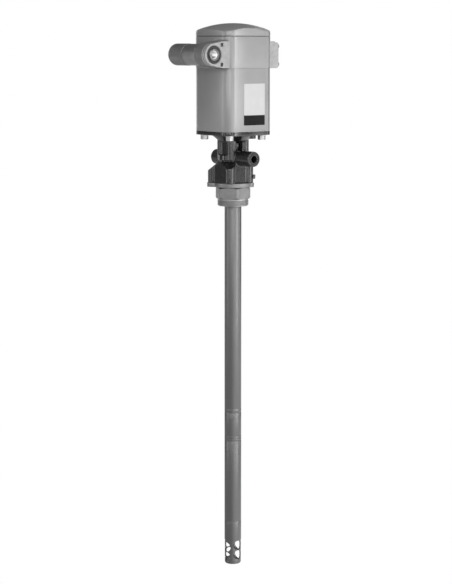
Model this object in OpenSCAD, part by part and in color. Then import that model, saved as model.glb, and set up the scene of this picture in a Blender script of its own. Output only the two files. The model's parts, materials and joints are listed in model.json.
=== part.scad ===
/* [Suction tube] */
// Outside diameter of the suction tube
tube_d = 32.2; // [28:0.2:36]
// Wall of the suction tube
tube_wall = 3; // [2:0.5:4]
// Depth of the tube below the bung seat, down to the foot valve joint
tube_drop = 625; // [560:5:700]
// Length of the pump cylinder above the foot valve joint
pump_cyl_l = 157; // [140:1:180]
// Length of the ring that joins tube and pump cylinder
coupling_l = 11; // [8:1:16]

/* [Foot] */
// Length of the foot below its joint
foot_l = 85; // [80:1:95]
// Step in radius between the joint collar and the foot's lower part
foot_step = 0.6; // [0.2:0.1:1]
// Length of the joint collar above that step
foot_collar_l = 38; // [34:1:40]
// Diameter of each intake hole
intake_d = 18; // [14:0.5:19]
// Height of the upper pair of intake holes above the foot's end
intake_hi = 37; // [35:0.5:38]
// Height of the lower pair of intake holes above the foot's end
intake_lo = 18; // [15:0.5:20]
// Fall of the two side pairs of holes below the front pairs
intake_stagger = 4; // [0:0.5:5]

/* [Bung adapter] */
// Major radius of the bung thread
bung_r = 29.8; // [27:0.1:32]
// Length of the bung thread
bung_l = 13.5; // [10:0.5:20]
// Across flats of the hexagon
hex_af = 60; // [58:1:64]
// Diameter that the hexagon's corners are turned to
hex_corner_d = 67.5; // [66:0.5:69]
// Height of the hexagon
hex_h = 22.5; // [16:0.5:28]

/* [Outlet body] */
// Thickness of the flange plate under the outlet body
plate_t = 8; // [6:0.5:12]
// Reach of the long flange lug from the axis
lug_reach = 49.5; // [47:0.5:52]
// Reach of the short flange lug from the axis
lug_short = 40; // [39.5:0.5:46]
// Height of the bell's straight part
bell_h = 23; // [18:1:28]
// Height of the sloping shoulder above it
shoulder_h = 17; // [12:1:20]
// Height of the neck above the waist
neck_h = 47.5; // [44:0.5:54]
// Radius of the four neck pillars
pillar_r = 9; // [7:0.5:10]
// Distance of the neck pillars from the axis
pillar_pos = 21; // [19:0.5:23]
// Radius of the outlet cross boss
boss_r = 14.5; // [12:0.5:17]
// Reach of the outlet boss on the port side
boss_reach = 64; // [56:1:70]
// Reach of the outlet boss on the plugged side
boss_back = 50.5; // [44:0.5:56]
// Radius of the outlet port's thread
outlet_r = 6.6; // [5.5:0.1:8]
// Depth of that thread
outlet_l = 16; // [12:1:20]

/* [Air motor] */
// Half width of the housing across its faces
house_half = 57; // [55:0.1:60]
// Corner radius of the housing
house_corner = 20; // [16:0.5:22]
// Radius of the slight crown on each side
house_crown = 380; // [300:10:500]
// Wall of the shroud and of the head shell
shroud_wall = 2.4; // [2:0.1:3]
// Amount by which the head shell stands proud of the shroud
head_proud = 0.6; // [0:0.1:1]
// Thickness of the base plate
base_t = 7; // [6:0.5:10]
// Height of the shroud
shroud_h = 118.4; // [112:0.2:130]
// Height of the head shell
head_h = 59.4; // [57:0.2:66]
// Height of the domed cover above its gasket
cover_rise = 25.2; // [22:0.2:30]
// Radius of the dome
dome_r = 185; // [150:1:220]
// Bore of the air cylinder
air_bore = 90; // [84:0.5:92]
// Stroke of the air motor
stroke = 80; // [60:1:80]
// Distance of the tie bolts from the axis
bolt_pos = 54.5; // [53.5:0.1:56]
// Diameter of the tie bolts
bolt_d = 8; // [6:1:8]
// Across flats of the bolt heads
bolt_af = 13; // [12:0.5:14]
// Diameter of the drive rod
rod_d = 14; // [12:0.5:16]

/* [Valve and ports] */
// Height of the valve block
block_h = 50.5; // [48:0.5:54]
// Half width of the valve block
block_half_y = 51.6; // [49:0.2:52]
// Reach of the valve block on the end cap's side
block_reach = 60; // [58:0.5:64]
// Reach of the valve block on the manifold's side
block_left = 50; // [49:0.5:51]
// Thickness of the end cap
end_cap_t = 9; // [7:0.5:12]
// Stroke of the valve spool
spool_stroke = 8; // [4:1:10]
// Diameter of the valve spool
spool_d = 18; // [14:1:20]
// Distance of the port axis from the motor axis
port_x = 86; // [84:0.5:92]
// Radius of the manifold's round end
port_boss_r = 20.8; // [19:0.1:22]
// Place of the port face in front of the motor axis
port_face_y = 54; // [50:0.5:58]
// Depth of the manifold behind its port face
manifold_depth = 36; // [34:1:40]
// Radius of the air inlet's thread
inlet_r = 7.8; // [6.5:0.1:8.5]
// Radius of the muffler
muffler_r = 20.6; // [18:0.1:20.8]
// Length of the muffler
muffler_l = 85; // [50:1:110]

/* [Fits] */
// Clearance of a running fit on the radius
run_gap = 0.05; // [0.02:0.01:0.1]
// Clearance round parts that don't guide each other
free_gap = 0.3; // [0.2:0.05:0.5]
// Depth of the grooves that seat the air cylinder
seat_depth = 3; // [2:0.5:3.5]

/* [Hidden] */
$fn = 64;

tube_r = tube_d / 2;
tube_in = tube_r - tube_wall;
rod_r = rod_d / 2;
e = 0.5;

// Heights, measured from the bung seat
z_plate = hex_h;
z_body = z_plate + plate_t;
z_bell = z_body + bell_h;
z_waist = z_bell + shoulder_h;
z_neck = z_waist + 4;
z_base = z_neck + neck_h;
z_shroud = z_base + base_t;
z_head = z_shroud + shroud_h;
z_cover = z_head + head_h;
gasket_t = 1;
z_outlet = z_waist + boss_r / 2;
z_pack = z_outlet + boss_r - 7;
z_gland = z_pack + 13;
z_tube_top = z_body + 20;
z_coupling = -tube_drop + pump_cyl_l + coupling_l;
z_cyl = -tube_drop + pump_cyl_l;
z_foot = -tube_drop;
z_end = z_foot - foot_l;

// Colours
c_paint = [0.62, 0.63, 0.64];
c_cast = [0.75, 0.76, 0.77];
c_black = [0.12, 0.12, 0.13];
c_zinc = [0.68, 0.69, 0.7];
c_steel = [0.55, 0.56, 0.58];
c_rubber = [0.08, 0.08, 0.08];
c_brass = [0.72, 0.6, 0.32];
c_mesh = [0.42, 0.42, 0.43];

// General shapes

module ring(r_out, r_in, h) {
  difference() {
    cylinder(r = r_out, h = h);
    translate([0, 0, -e]) cylinder(r = r_in, h = h + 2 * e);
  }
}

// A square with crowned sides and round corners, all true arcs
module crowned_square(half, r, f) {
  k = f - half;
  c = (-k + sqrt(2 * pow(f - r, 2) - k * k)) / 2;
  tip = 3 * r;
  difference() {
    intersection() {
      square(2 * half + 1, center = true);
      translate([-k, 0]) circle(f, $fn = 200);
      translate([k, 0]) circle(f, $fn = 200);
      translate([0, -k]) circle(f, $fn = 200);
      translate([0, k]) circle(f, $fn = 200);
    }
    for (q = [0:3]) rotate(90 * q) difference() {
      polygon([
        [c, c],
        [c, c] + tip * [c + k, c] / norm([c + k, c]),
        [c + tip, c + tip],
        [c, c] + tip * [c, c + k] / norm([c, c + k])
      ]);
      translate([c, c]) circle(r);
    }
  }
}

// The housing's outline, moved inwards by inset
module house_outline(inset = 0) {
  crowned_square(house_half - inset, house_corner - inset, house_crown - inset);
}

module at_corners(d) {
  for (q = [0:3]) rotate(45 + 90 * q) translate([d, 0, 0]) children();
}

module hex_bar(af, h) {
  cylinder(r = af / sqrt(3), h = h, $fn = 6);
}

// Hexagon with both ends chamfered, as a turned blank
module hex_head(af, h) {
  intersection() {
    hex_bar(af, h);
    rotate_extrude() polygon([
      [0, 0], [af * 0.49, 0], [af * 0.585, h * 0.1 + 0.4], [af * 0.585, h], [0, h]
    ]);
  }
}

// A plate's outline with two round lugs of their own reach and a round middle
module lug_outline(reaches, lug_r, mid_r) {
  circle(mid_r);
  for (i = [0, 1]) rotate(180 * i) {
    reach = reaches[i] - lug_r;
    polygon([[0, -mid_r * 0.97], [reach, -lug_r], [reach, lug_r], [0, mid_r * 0.97]]);
    translate([reach, 0]) circle(lug_r);
  }
}

// Air motor housing

module top_cover() {
  color(c_paint) {
    difference() {
      intersection() {
        translate([0, 0, z_cover + gasket_t]) linear_extrude(cover_rise + 5)
          offset_house(head_proud);
        translate([0, 0, z_cover + cover_rise - dome_r]) sphere(dome_r, $fn = 200);
      }
      intersection() {
        translate([0, 0, z_cover]) linear_extrude(cover_rise) house_outline(shroud_wall + 2);
        translate([0, 0, z_cover + cover_rise - dome_r]) sphere(dome_r - 3, $fn = 200);
      }
    }
  }
}

module offset_house(proud) {
  crowned_square(house_half + proud, house_corner + proud, house_crown + proud);
}

module cover_gasket() {
  color(c_rubber) translate([0, 0, z_cover]) linear_extrude(gasket_t) difference() {
    house_outline(0.5);
    house_outline(shroud_wall + 2);
  }
}

module head_shell() {
  gap = 0.4;
  color(c_paint) translate([0, 0, z_head]) difference() {
    linear_extrude(head_h) offset_house(head_proud);
    translate([0, 0, -e]) linear_extrude(block_h + 1 + e) house_outline(shroud_wall);
    translate([0, 0, block_h]) linear_extrude(head_h) house_outline(shroud_wall + 2);
    // Ways out for the block on one side and for the manifold on the other
    translate([0, -block_half_y - gap, -gap])
      cube([house_half + 5, 2 * (block_half_y + gap), block_h + 2 * gap]);
    translate([-house_half - 5, -port_face_y - gap, -gap])
      cube([house_half + 5 - block_left + 0.1, manifold_depth + 2 * gap, block_h + 2 * gap]);
  }
}

block_bolt_l = 16;
z_spool = z_head + 34;
spool_bore_r = spool_d / 2 + 3;
supply_y = 36;
supply_x = -10;
exhaust_y = 25;
exhaust_x = -30;
work_x = 10;
z_supply = z_head + block_h / 2;
z_exhaust = z_head + 18;
way_r = 3;

module valve_block() {
  color(c_cast) difference() {
    translate([0, 0, z_head]) {
      translate([0, -block_half_y, 0]) cube([block_reach, 2 * block_half_y, block_h]);
      intersection() {
        translate([-block_left, -block_half_y, 0]) cube([block_left + e, 2 * block_half_y, block_h]);
        linear_extrude(block_h) house_outline(shroud_wall + 0.2);
      }
    }
    // Groove for the air cylinder and the roof of its chamber
    translate([0, 0, z_head - e]) difference() {
      cylinder(r = air_bore / 2 + 3 + 0.02, h = seat_depth + e);
      translate([0, 0, -e]) cylinder(r = air_bore / 2 - 0.1, h = seat_depth + 3 * e);
    }
    // Spool bore along X, blind on the manifold's side
    along_x(-block_left + 2, 0, z_spool) cylinder(r = spool_bore_r, h = block_left + block_reach);
    // Supply and exhaust passages from the manifold, and their ways to the spool
    along_x(-block_left - e, -supply_y, z_supply) cylinder(r = 5, h = block_left + supply_x + way_r);
    along_y(supply_x, 0, z_spool - 4) cylinder(r = way_r, h = supply_y);
    along_x(-block_left - e, -exhaust_y, z_exhaust) cylinder(r = 4, h = block_left + exhaust_x + way_r);
    along_y(exhaust_x, way_r, z_exhaust) cylinder(r = way_r, h = exhaust_y + way_r);
    translate([exhaust_x, 0, z_exhaust]) cylinder(r = way_r, h = z_spool - z_exhaust);
    translate([work_x, 0, z_head - e]) cylinder(r = way_r, h = z_spool - z_head + e);
    // Threads of the screws at both ends
    for (s = [-1, 1], z = cap_z) along_x(block_reach - screw_bite - 1, s * cap_screw_y, z_head + z)
      cylinder(r = end_screw_d / 2, h = screw_bite + 2);
    for (y = manifold_screw_y, z = manifold_screw_z) along_x(-block_left - e, y, z_head + z)
      cylinder(r = manifold_screw_d / 2, h = screw_bite + 1 + e);
    // Threads of the tie bolts
    at_corners(bolt_pos) translate([0, 0, z_head - e]) cylinder(r = bolt_d / 2, h = block_bolt_l + e);
  }
}

module along_x(x, y, z) {
  translate([x, y, z]) rotate([0, 90, 0]) children();
}

// Along -Y
module along_y(x, y, z) {
  translate([x, y, z]) rotate([90, 0, 0]) children();
}

module valve_sleeve() {
  color(c_steel) difference() {
    along_x(-block_left + 2, 0, z_spool) ring(spool_bore_r - 0.02, spool_d / 2, block_left + block_reach - 4);
    for (x = [exhaust_x, work_x]) translate([x, 0, z_spool - spool_d]) cylinder(r = way_r, h = spool_d);
    along_y(supply_x, 0, z_spool - 4) cylinder(r = way_r, h = spool_d);
  }
}

cap_z = [7.5, block_h - 9.5];
cap_screw_y = block_half_y - 6;

module valve_end_cap() {
  cap_r = end_cap_t / 2;
  color(c_cast) difference() {
    translate([block_reach, 0, z_head]) {
      translate([0, -block_half_y, 0]) cube([end_cap_t - cap_r, 2 * block_half_y, block_h - 2]);
      translate([0, -block_half_y, cap_r]) cube([end_cap_t, 2 * block_half_y, block_h - 2 - 2 * cap_r]);
      for (z = [cap_r, block_h - 2 - cap_r]) translate([end_cap_t - cap_r, block_half_y, z])
        rotate([90, 0, 0]) cylinder(r = cap_r, h = 2 * block_half_y);
    }
    for (s = [-1, 1], z = cap_z) along_x(block_reach - e, s * cap_screw_y, z_head + z)
      cylinder(r = end_screw_d / 2 + 0.2, h = end_cap_t + 2 * e);
  }
}

// A socket head screw along its own Z, seat at zero, shank below
module cap_screw(d, cap_h, shank) {
  difference() {
    union() {
      cylinder(r = d * 0.8, h = cap_h);
      translate([0, 0, -shank]) cylinder(r = d / 2 - 0.02, h = shank + e);
    }
    translate([0, 0, cap_h * 0.45]) hex_bar(d * 0.8, cap_h);
  }
}

module end_cap_screws() {
  color(c_steel) for (s = [-1, 1], z = cap_z)
    along_x(block_reach + end_cap_t, s * cap_screw_y, z_head + z)
      cap_screw(end_screw_d, 2.5, end_cap_t + screw_bite);
}

manifold_face = 67;
pocket_l = 12;
port_z = z_head + block_h / 2 + 0.5;
manifold_y = manifold_depth - port_face_y;
manifold_screw_y = [-port_face_y + 14, -port_face_y + 28];
manifold_screw_z = [7.5, block_h - 6.5];
manifold_screw_d = 5;
end_screw_d = 6;
screw_bite = 6;

// Outline in the XZ plane: a round end drawn out to the flange's full height
module manifold_taper() {
  dx = port_x - manifold_face;
  far = port_x - block_left;
  half_h = block_h / 2 - 0.4;
  lean = acos(port_boss_r / norm([dx, half_h])) - atan2(dx, half_h);
  touch = (port_boss_r - 0.05) * [-sin(lean), cos(lean)];
  polygon([
    touch, [dx, half_h], [far, half_h], [far, -half_h], [dx, -half_h], [touch[0], -touch[1]]
  ]);
}

module air_manifold() {
  color(c_cast) difference() {
    along_y(-port_x, manifold_y, port_z) {
      cylinder(r = port_boss_r, h = manifold_depth);
      linear_extrude(manifold_depth) manifold_taper();
    }
    // Two shallow rings behind the port face
    for (y = [5, 10]) along_y(-port_x, -port_face_y + y, port_z) intersection() {
      ring(port_boss_r + e, port_boss_r - 0.7, 1.2);
      translate([-2 * port_boss_r, -port_boss_r * 2, -e]) cube([2 * port_boss_r, 4 * port_boss_r, 3]);
    }
    // Seat of the inlet bushing and the groove round it
    along_y(-port_x, -port_face_y + bushing_l, port_z) cylinder(r = bushing_r, h = bushing_l + 2);
    along_y(-port_x, -port_face_y + 3, port_z) ring(port_boss_r - 3.8, bushing_r - e, 4);
    // Air way in, and the exhaust way out to the muffler
    along_y(-port_x, -port_face_y + bushing_l + 4.2, port_z) cylinder(r = inlet_r - 1, h = 12);
    along_x(-port_x, -supply_y, z_supply) cylinder(r = 5, h = port_x);
    along_y(-port_x, manifold_y + e, port_z) cylinder(r = core_r, h = manifold_y + exhaust_y + 4.4 + e);
    along_x(-port_x, -exhaust_y, z_exhaust) cylinder(r = 4, h = port_x);
    // Screw holes, and clearance in front of the screw heads
    for (y = manifold_screw_y, z = manifold_screw_z) {
      along_x(-manifold_face - pocket_l + 2, y, z_head + z) cylinder(r = 4.8, h = pocket_l);
      along_x(-manifold_face, y, z_head + z) cylinder(r = manifold_screw_d / 2, h = manifold_face);
    }
    // Windows in front of the two screws by the port face
    for (z = manifold_screw_z)
      translate([-manifold_face - 4, -port_face_y - e, z_head + z - 3.5]) cube([6, 13, 7]);
  }
}

module manifold_screws() {
  color(c_zinc) for (y = manifold_screw_y, z = manifold_screw_z)
    translate([-manifold_face + 2, y, z_head + z]) rotate([0, -90, 0])
      cap_screw(manifold_screw_d, 4.5, manifold_face - 2 - block_left + screw_bite);
}

bushing_r = 11.2;
bushing_l = 18;
core_r = 9;

module inlet_bushing() {
  color(c_zinc) along_y(-port_x, -port_face_y + bushing_l, port_z) difference() {
    union() {
      cylinder(r = bushing_r - 0.02, h = bushing_l - 0.5);
      translate([0, 0, bushing_l - 0.5]) cylinder(r1 = bushing_r - 0.02, r2 = bushing_r - 1, h = 1);
    }
    translate([0, 0, -e]) cylinder(r = inlet_r, h = bushing_l + 2);
  }
}

module muffler_body() {
  edge_r = 8;
  color(c_mesh) translate([-port_x, manifold_y, port_z]) rotate([-90, 0, 0])
    rotate_extrude() difference() {
      union() {
        square([muffler_r - edge_r, muffler_l]);
        square([muffler_r, muffler_l - edge_r]);
        translate([muffler_r - edge_r, muffler_l - edge_r]) circle(edge_r);
      }
      translate([-2 * muffler_r, -e]) square([2 * muffler_r, muffler_l + 2 * e]);
      translate([-e, -e]) square([muffler_r - 3 + e, muffler_l - 3]);
      translate([0, -2 * edge_r]) square([muffler_r + edge_r, 2 * edge_r]);
    }
}

module muffler_core() {
  color(c_steel) translate([-port_x, manifold_y, port_z]) rotate([-90, 0, 0]) {
    translate([0, 0, -4]) ring(core_r - 0.02, 6, 4);
    ring(muffler_r - 3.02, 6, 4);
    translate([0, 0, 4]) ring(core_r, 6, muffler_l - 7.5);
  }
}

module air_cylinder() {
  color(c_cast) translate([0, 0, z_shroud - seat_depth])
    ring(air_bore / 2 + 3, air_bore / 2, shroud_h + 2 * seat_depth);
}

module cylinder_seals() {
  color(c_rubber) for (z = [z_shroud + 1, z_head - 3]) translate([0, 0, z])
    ring(air_bore / 2 + 5.2, air_bore / 2 + 3, 2);
}

module shroud() {
  color(c_paint) translate([0, 0, z_shroud]) linear_extrude(shroud_h) difference() {
    house_outline();
    house_outline(shroud_wall);
  }
}

bush_r = rod_r + 5;

module base_plate() {
  color(c_black) difference() {
    translate([0, 0, z_base]) linear_extrude(base_t) offset_house(0.3);
    translate([0, 0, z_shroud - seat_depth])
      ring(air_bore / 2 + 3.02, air_bore / 2 - 0.1, seat_depth + e);
    translate([0, 0, z_base - e]) cylinder(r = bush_r, h = base_t + 2 * e);
    at_corners(bolt_pos) translate([0, 0, z_base - e]) cylinder(r = bolt_d / 2 + free_gap, h = base_t + 2 * e);
    for (a = neck_angles) rotate(a) translate([body_screw_pos, 0, z_base - e])
      cylinder(r = 3.2, h = base_t + 2 * e);
  }
}

neck_angles = [0, 90, 180, 270];
body_screw_pos = 31;
body_screw_bite = 4;

module tie_bolts() {
  head = 8;
  washer = 1.6;
  color(c_zinc) at_corners(bolt_pos) {
    translate([0, 0, z_base - washer - head]) {
      rotate(15) hex_head(bolt_af, head);
      translate([0, 0, head]) cylinder(r = bolt_d, h = washer);
      translate([0, 0, head]) cylinder(r = bolt_d / 2 - 0.02, h = washer + base_t + shroud_h + block_bolt_l);
    }
  }
}

module rod_bushing() {
  color(c_brass) translate([0, 0, z_base]) difference() {
    union() {
      cylinder(r = bush_r - 0.02, h = base_t);
      translate([0, 0, base_t]) cylinder(r = bush_r + 3, h = 2.5);
    }
    translate([0, 0, -e]) cylinder(r = rod_r + run_gap, h = base_t + 4);
    translate([0, 0, 2]) cylinder(r = rod_r + 2.5, h = 3.5);
  }
}

module rod_seal() {
  color(c_rubber) translate([0, 0, z_base + 2.1]) ring(rod_r + 2.45, rod_r + run_gap, 3.3);
}

// Outlet body

lug_angle = -45;
lug_r = 11;
neck_bore = 15;
flange_r = 39;
pack_r = rod_r + 5;
chamber_r = 11;

module neck_section() {
  difference() {
    union() {
      at_corners(pillar_pos) circle(pillar_r);
      for (s = [-1, 1]) translate([s * (neck_bore + 2.5), 0])
        square([6, 2 * pillar_pos * sin(45)], center = true);
    }
    circle(neck_bore);
  }
}

module bell_section() {
  translate([-32, -26]) square([58, 52]);
  for (i = [0, 1]) rotate(lug_angle + 180 * i) {
    translate([body_lugs[i] - lug_r, 0]) circle(lug_r);
    translate([0, -lug_r]) square([body_lugs[i] - lug_r, 2 * lug_r]);
  }
  // Round ribs in front and behind
  translate([-24, -21]) circle(10);
  translate([18.4, 18.4]) circle(10);
}

module outlet_body() {
  color(c_black) difference() {
    union() {
      // Upper flange: a short disc, a flare, and one ear
      translate([0, 0, z_base - 12]) rotate_extrude() polygon([
        [0, 0], [27, 0], [flange_r, 10], [flange_r, 12], [0, 12]
      ]);
      rotate(lug_angle) translate([37, 0, z_base - 8]) cylinder(r = 6.5, h = 8);
      rotate(lug_angle) translate([20, -6.5, z_base - 8]) cube([17, 13, 8]);
      translate([0, 0, z_neck - 1]) linear_extrude(neck_h - 8) neck_section();
      // Floor of the neck, the waist and the shoulder
      translate([0, 0, z_waist + 3]) cylinder(r = pillar_pos + pillar_r - 2, h = 10);
      translate([0, 0, z_waist - e]) cylinder(r = pillar_pos + 3, h = 6);
      intersection() {
        translate([0, 0, z_body]) linear_extrude(bell_h + shoulder_h) bell_section();
        translate([0, 0, z_body]) cylinder(r = lug_reach, h = bell_h);
      }
      intersection() {
        translate([0, 0, z_bell - e]) linear_extrude(shoulder_h + e) bell_section();
        translate([0, 0, z_bell - e])
          cylinder(r1 = lug_reach - 1, r2 = pillar_pos + 6, h = shoulder_h + e);
      }
      // Cross boss of the outlet
      translate([0, boss_back, z_outlet]) rotate([90, 0, 0]) {
        cylinder(r = boss_r, h = boss_back + boss_reach - 1.2);
        translate([0, 0, boss_back + boss_reach - 1.2]) cylinder(r1 = boss_r, r2 = boss_r - 1.2, h = 1.2);
      }
    }
    // Outlet way, threaded at both ends and plugged at the back
    along_y(0, boss_back + e, z_outlet) {
      cylinder(r = outlet_r - 1.6, h = boss_back + boss_reach + 2 * e);
      cylinder(r = outlet_r, h = plug_l + 1 + e);
      translate([0, 0, boss_back + boss_reach - outlet_l + e]) cylinder(r = outlet_r, h = outlet_l + e);
    }
    // Way of the rod: tube seat, grease chamber, packing, neck
    translate([0, 0, z_body - e]) cylinder(r = tube_r + 0.02, h = z_tube_top - z_body + e);
    translate([0, 0, z_body]) cylinder(r = chamber_r, h = z_pack - z_body);
    translate([0, 0, z_pack - e]) cylinder(r = pack_r, h = 30);
    translate([0, 0, z_gland]) cylinder(r = neck_bore, h = z_base - z_gland - 12);
    translate([0, 0, z_base - 13]) cylinder(r = pack_r, h = 14);
    // Windows on the port side and behind
    translate([-window_w / 2, -40, z_gland]) cube([window_w, 80, z_base - z_gland - 12]);
    // Screws from above and from below, and the bleed screw
    for (a = neck_angles) rotate(a) translate([body_screw_pos, 0, z_base - body_screw_bite - 0.5])
      cylinder(r = 2.5, h = 10);
    for (i = [0, 1]) rotate(lug_angle + 180 * i) translate([flange_screws_at[i], 0, z_body - e])
      cylinder(r = flange_screw_d / 2, h = 8 + e);
    rotate(lug_angle) along_x(body_lugs[0] - 6, 0, z_bleed) cylinder(r = 2.5, h = 8);
    rotate(lug_angle) along_x(0, 0, z_bleed) cylinder(r = 1.2, h = body_lugs[0]);
  }
}

window_w = 11;
plug_l = 12;
body_lugs = [lug_short - 1.5, lug_reach - 1.5];
flange_screws_at = [body_lugs[0] - 5, body_lugs[1] - 6];
flange_screw_d = 5;
flange_sink = 5.3;
z_bleed = z_body + 11.5;

module body_screws() {
  color(c_steel) for (a = neck_angles) rotate(a)
    translate([body_screw_pos, 0, z_shroud])
      cap_screw_low(5, base_t + body_screw_bite);
}

// A countersunk screw, top face at zero
module cap_screw_low(d, shank) {
  difference() {
    union() {
      translate([0, 0, -base_t]) cylinder(r = 3.15, h = base_t);
      translate([0, 0, -shank]) cylinder(r = d / 2 - 0.02, h = shank);
    }
    translate([0, 0, -2.5]) hex_bar(3.5, 4);
  }
}

module packing() {
  color(c_rubber) for (i = [0:2]) translate([0, 0, z_pack + 3 * i])
    ring(pack_r - 0.05, rod_r + run_gap, 2.8);
}

module packing_nut() {
  color(c_brass) difference() {
    union() {
      translate([0, 0, z_pack + 9]) cylinder(r = pack_r - 0.02, h = z_gland - z_pack - 8);
      translate([0, 0, z_gland]) hex_head(24, 7);
    }
    translate([0, 0, z_pack]) cylinder(r = rod_r + 0.1, h = 30);
  }
}

module outlet_plug() {
  color(c_black) along_y(0, boss_back + 1, z_outlet) difference() {
    union() {
      cylinder(r = outlet_r + 2.5, h = 1);
      cylinder(r = outlet_r - 0.02, h = plug_l);
    }
    translate([0, 0, -e]) hex_bar(6, 5);
  }
}

module bleed_screw() {
  color(c_zinc) rotate(lug_angle) along_x(body_lugs[0], 0, z_bleed) {
    translate([0, 0, -5.5]) cylinder(r = 2.48, h = 6);
    rotate(30) hex_head(8, 4);
  }
}

module flange_plate() {
  color(c_zinc) difference() {
    union() {
      translate([0, 0, z_plate]) rotate(lug_angle) linear_extrude(plate_t)
        lug_outline([lug_short, lug_reach], lug_r + 1, 36);
      translate([0, 0, z_plate - 14]) cylinder(r = spigot_r, h = 14 + e);
    }
    translate([0, 0, z_plate - 15]) cylinder(r = tube_r + 0.1, h = plate_t + 16);
    for (i = [0, 1]) rotate(lug_angle + 180 * i) translate([flange_screws_at[i], 0, z_plate - e]) {
      cylinder(r = flange_screw_d / 2 + 0.2, h = plate_t + 2 * e);
      cylinder(r = flange_screw_d * 0.8 + 0.2, h = flange_sink + e);
    }
  }
}

spigot_r = 22;

module flange_screws() {
  color(c_zinc) for (i = [0, 1]) rotate(lug_angle + 180 * i)
    translate([flange_screws_at[i], 0, z_plate + flange_sink]) rotate([180, 0, 0])
      cap_screw(flange_screw_d, flange_sink - 0.3, plate_t - flange_sink + 7.5);
}

module bung_adapter() {
  color(c_zinc) difference() {
    union() {
      intersection() {
        rotate(6) hex_bar(hex_af, hex_h);
        rotate_extrude() polygon([
          [0, 0], [hex_af / 2 + 0.5, 0], [hex_corner_d / 2, 2.4], [hex_corner_d / 2, hex_h - 2.6],
          [hex_af / 2 - 1, hex_h], [0, hex_h]
        ]);
      }
      translate([0, 0, -bung_l]) rotate_extrude() polygon([
        [0, 0], [bung_r - 2, 0], [bung_r, 2], [bung_r, bung_l + e], [0, bung_l + e]
      ]);
    }
    translate([0, 0, -bung_l - e]) cylinder(r = tube_r + 0.5, h = 60);
    translate([0, 0, hex_h - 14]) cylinder(r = spigot_r + 0.02, h = 15);
  }
}

// Tube, cylinder and foot

module suction_tube() {
  color(c_steel) translate([0, 0, z_coupling]) difference() {
    ring(tube_r, tube_in, z_tube_top - z_coupling);
    for (z = [44, 52]) translate([0, 0, z]) ring(tube_r + e, tube_r - 0.3, 1);
  }
}

module tube_coupling() {
  color(c_steel) translate([0, 0, z_cyl]) difference() {
    union() {
      cylinder(r = tube_r, h = coupling_l);
      translate([0, 0, -10]) cylinder(r = tube_in - 1.02, h = 10 + e);
      translate([0, 0, coupling_l - e]) cylinder(r = tube_in - 0.02, h = 12 + e);
    }
    translate([0, 0, -11]) cylinder(r = 9.5, h = coupling_l + 30);
    for (z = [0.4, coupling_l / 2 - 0.6, coupling_l - 1.6]) translate([0, 0, z])
      ring(tube_r + e, tube_r - 0.5, 1.2);
  }
}

piston_r = 9;

module pump_cylinder() {
  color(c_steel) translate([0, 0, z_foot]) difference() {
    cylinder(r = tube_r, h = pump_cyl_l);
    translate([0, 0, -e]) cylinder(r = piston_r, h = pump_cyl_l + 2 * e);
    translate([0, 0, pump_cyl_l - 10]) cylinder(r = tube_in - 1, h = 10 + e);
    translate([0, 0, -e]) cylinder(r = seat_r, h = 3 + e);
  }
}

foot_r = tube_r - foot_step;
foot_in = foot_r - 2.6;
seat_r = 12;
z_seat = z_foot - 20;

module foot_housing() {
  edge = 3;
  color(c_steel) difference() {
    translate([0, 0, z_end]) rotate_extrude() difference() {
      union() {
        translate([0, foot_l - foot_collar_l]) square([tube_r, foot_collar_l]);
        translate([0, edge]) square([foot_r, foot_l - edge]);
        square([foot_r - edge, foot_l]);
        translate([foot_r - edge, edge]) circle(edge);
      }
      translate([-tube_d, -e]) square([tube_d, foot_l + 2 * e]);
    }
    translate([0, 0, z_end - e]) cylinder(r = foot_in, h = z_seat - 8 - z_end + e);
    translate([0, 0, z_seat - 9]) cylinder(r = foot_in - 3, h = 10);
    translate([0, 0, z_seat - 6]) cylinder(r = seat_r, h = foot_l);
    for (a = [0, 90], h = [intake_lo, intake_hi])
      translate([-tube_d * (1 - a / 90), -tube_d * a / 90, z_end + h - (a == 0 ? intake_stagger : 0)])
        rotate(a == 0 ? [0, 90, 0] : [-90, 0, 0]) cylinder(r = intake_d / 2, h = 2 * tube_d);
  }
}

module foot_seat() {
  color(c_steel) difference() {
    union() {
      translate([0, 0, z_seat - 6]) cylinder(r = seat_r - 0.02, h = 6);
      translate([0, 0, z_seat]) cylinder(r1 = 8.6, r2 = 7.6, h = 1.5);
    }
    translate([0, 0, z_seat - 7]) cylinder(r = 6.2, h = 10);
  }
}

// Moving train, drawn at the top of its stroke

z_piston = z_head - 3.5;
piston_t = 24;
seal_r = air_bore / 2;

module air_piston() {
  color(c_cast) translate([0, 0, z_piston - piston_t]) difference() {
    cylinder(r = seal_r - 0.6, h = piston_t);
    translate([0, 0, -e]) cylinder(r = rod_r - 2, h = piston_t + 2 * e);
    translate([0, 0, -e]) cylinder(r = rod_r, h = 8 + e);
    translate([0, 0, piston_t - 9]) cylinder(r = 13, h = 10);
    translate([0, 0, 8]) ring(seal_r + e, seal_r - 4, 6);
    for (s = [-1, 1]) translate([0, 0, s < 0 ? -e : piston_t - 5 + e]) ring(36, 20, 5);
  }
}

module piston_seal() {
  color(c_rubber) translate([0, 0, z_piston - piston_t + 8.05]) ring(seal_r - run_gap, seal_r - 3.98, 5.9);
}

module piston_nut() {
  color(c_zinc) translate([0, 0, z_piston - 9]) difference() {
    hex_head(17, 7);
    translate([0, 0, -e]) cylinder(r = rod_r - 2, h = 9);
  }
}

drive_end = -60;
joint_l = 22;

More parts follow.
